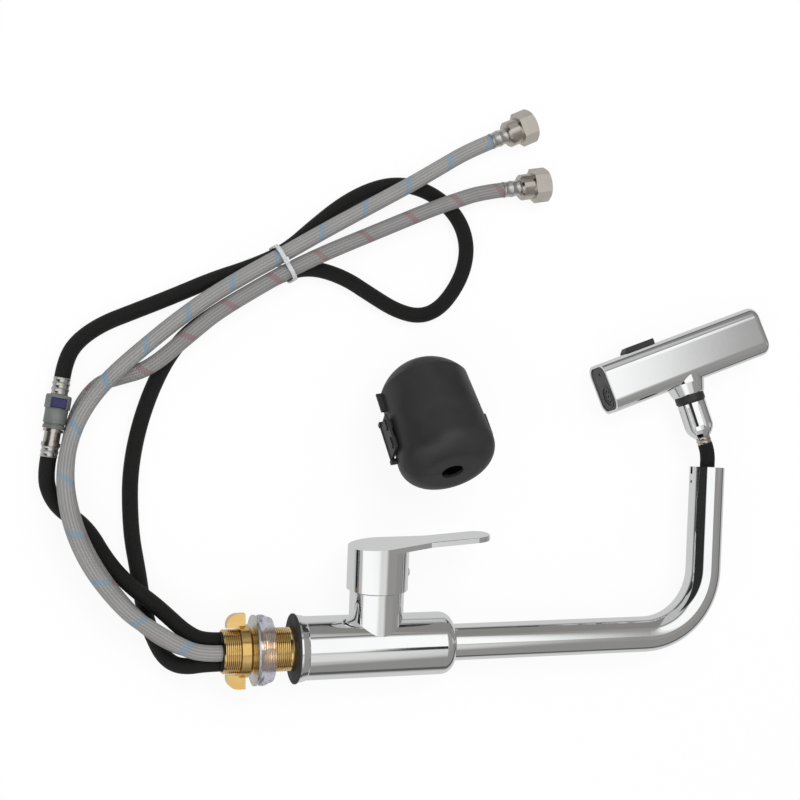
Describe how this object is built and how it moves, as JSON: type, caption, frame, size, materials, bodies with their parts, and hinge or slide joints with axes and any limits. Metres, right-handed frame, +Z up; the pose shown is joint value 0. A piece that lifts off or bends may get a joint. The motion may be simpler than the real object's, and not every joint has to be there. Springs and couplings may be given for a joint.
{
  "type": "mixer tap",
  "caption": "Pull-out kitchen mixer tap with a bent spout, side lever, spray bar head, supply hoses and clip-on hose weight.",
  "frame": {"origin": "centre of the deck hole, on the deck's top face, which is the underside of the base gasket", "axes": "+X runs from the deck up the body and column, +Y is the side that the spout arm and the lever point to, +Z is up with the tap lying on its back"},
  "size_m": [0.5921, 0.4507, 0.0965],
  "materials": {
    "chrome": "polished",
    "black_rubber": "matt",
    "brass": "satin",
    "steel": "brushed",
    "nickel": "satin",
    "clear_plastic": "translucent",
    "white_plastic": "satin",
    "ceramic": "polished",
    "black_plastic": "satin",
    "face_plastic": "matt",
    "grey_plastic": "satin",
    "connector_plastic": "satin",
    "connector_button_plastic": "satin",
    "grey_braid": "braided",
    "black_braid": "braided",
    "cast_weight": "rough"
  },
  "bodies": {
    "mixer": {"mixer_body": "chrome", "base_ring": "chrome", "base_gasket": "black_rubber", "threaded_shank": "brass", "cartridge_case": "white_plastic", "cartridge_fixed_disc": "ceramic", "cartridge_seals": "black_rubber", "cartridge_nut": "brass", "trim_dome": "chrome", "spout_collar": "chrome", "hose_in_body": "black_braid", "hoses_in_shank": "grey_braid", "hose_tails": "brass", "cold_supply_hose": "grey_braid", "hot_supply_hose": "grey_braid", "outlet_hose": "black_braid", "pullout_hose": "black_braid", "hose_ferrules": "steel", "supply_nipples": "steel", "nut_washers": "black_rubber", "quick_connector": "connector_plastic", "connector_plug": "nickel", "cable_tie": "white_plastic"},
    "clamp_stack": {"clamp_washer": "steel", "clear_washer": "clear_plastic"},
    "wing_nut": {"fixing_nut": "brass"},
    "rotor": {"cartridge_rotor": "white_plastic", "cartridge_moving_disc": "ceramic", "lever_pin": "steel"},
    "lever": {"lever_stem": "steel", "handle": "chrome", "handle_grub_screw": "steel", "index_plug": "grey_plastic"},
    "spout": {"spout_tube": "chrome", "spout_bush": "white_plastic", "spout_o_rings": "black_rubber", "hose_guide": "white_plastic", "hose_in_spout": "black_braid"},
    "pulled": {"hose_throat": "black_braid", "hose_neck": "black_braid"},
    "stem": {"swivel_ferrule": "nickel"},
    "head": {"hose_connector": "chrome", "check_valve": "white_plastic", "collar_ring": "black_plastic", "head_shell": "chrome", "head_core": "grey_plastic", "spray_face": "face_plastic", "aerator": "face_plastic", "diverter_spring": "steel"},
    "button": {"mode_button": "black_plastic", "diverter_spool": "grey_plastic"},
    "release": {"connector_button": "connector_button_plastic"},
    "cold_union": {"cold_nut": "nickel"},
    "hot_union": {"hot_nut": "nickel"},
    "weight_lower": {"weight_lower_shell": "black_plastic", "weight_lower_core": "cast_weight", "weight_hinge_pin": "steel"},
    "weight_upper": {"weight_upper_shell": "black_plastic", "weight_upper_core": "cast_weight"},
    "latch": {"weight_latch": "black_plastic"}
  },
  "joints": [
    {"name": "spout_swivel", "type": "hinge", "parent": "mixer", "child": "spout", "pos_m": [0.11, 0, 0], "axis": [1, 0, 0], "range_deg": [-180, 180]},
    {"name": "handle_turn", "type": "hinge", "parent": "mixer", "child": "rotor", "pos_m": [0.0647, 0, 0], "axis": [0, 0.9898, 0.1426], "range_deg": [-45, 45]},
    {"name": "handle_lift", "type": "hinge", "parent": "rotor", "child": "lever", "pos_m": [0.0647, 0.04127, 0.00595], "axis": [0, -0.1426, 0.9898], "range_deg": [0, 20]},
    {"name": "head_pull", "type": "slide", "parent": "spout", "child": "pulled", "axis": [0.0523, 0.9986, 0], "range_m": [0, 0.45], "deforming": ["hose_throat"]},
    {"name": "head_dock", "type": "hinge", "parent": "pulled", "child": "stem", "pos_m": [0.18788, 0.12391, -0.05358], "axis": [-0.3173, 0.0166, 0.9482], "range_deg": [-20.64, 0], "deforming": ["hose_neck"]},
    {"name": "head_swivel", "type": "hinge", "parent": "stem", "child": "head", "pos_m": [0.34916, 0.1462, 0], "axis": [-0.2847, 0.952, -0.112], "continuous": true},
    {"name": "mode_press", "type": "slide", "parent": "head", "child": "button", "axis": [0.3342, -0.9358, 0.1121], "range_m": [0, 0.0025], "stiffness_N_per_m": 400, "springref_m": -0.002, "deforming": ["diverter_spring"]},
    {"name": "connector_press", "type": "slide", "parent": "mixer", "child": "release", "axis": [0, 0, -1], "range_m": [0, 0.0015], "stiffness_N_per_m": 600, "springref_m": -0.001},
    {"name": "cold_nut_spin", "type": "hinge", "parent": "mixer", "child": "cold_union", "pos_m": [0.1895, 0.4055, -0.0145], "axis": [0.9135, 0.4067, 0], "continuous": true},
    {"name": "hot_nut_spin", "type": "hinge", "parent": "mixer", "child": "hot_union", "pos_m": [0.2015, 0.361, -0.0145], "axis": [0.9863, 0.165, 0], "continuous": true},
    {"name": "nut_travel", "type": "slide", "parent": "mixer", "child": "clamp_stack", "axis": [1, 0, 0], "range_m": [-0.00205, 0.01655]},
    {"name": "nut_spin", "type": "hinge", "parent": "clamp_stack", "child": "wing_nut", "pos_m": [-0.0414, 0, 0], "axis": [1, 0, 0], "range_deg": [-480, 3960]},
    {"name": "weight_lift", "type": "slide", "parent": "mixer", "child": "weight_lower", "axis": [0, 0, 1], "range_m": [0, 0.1]},
    {"name": "weight_open", "type": "hinge", "parent": "weight_lower", "child": "weight_upper", "pos_m": [0.14733, 0.16869, 0.02531], "axis": [-0.117, 0.8324, -0.5417], "range_deg": [0, 100]},
    {"name": "latch_turn", "type": "hinge", "parent": "weight_lower", "child": "latch", "pos_m": [0.06984, 0.15457, 0.01666], "axis": [0.117, -0.8324, 0.5417], "range_deg": [0, 80]}
  ],
  "couplings": [
    {"joint": "nut_travel", "follows": "nut_spin", "m_per_rad": 0.00023873}
  ]
}
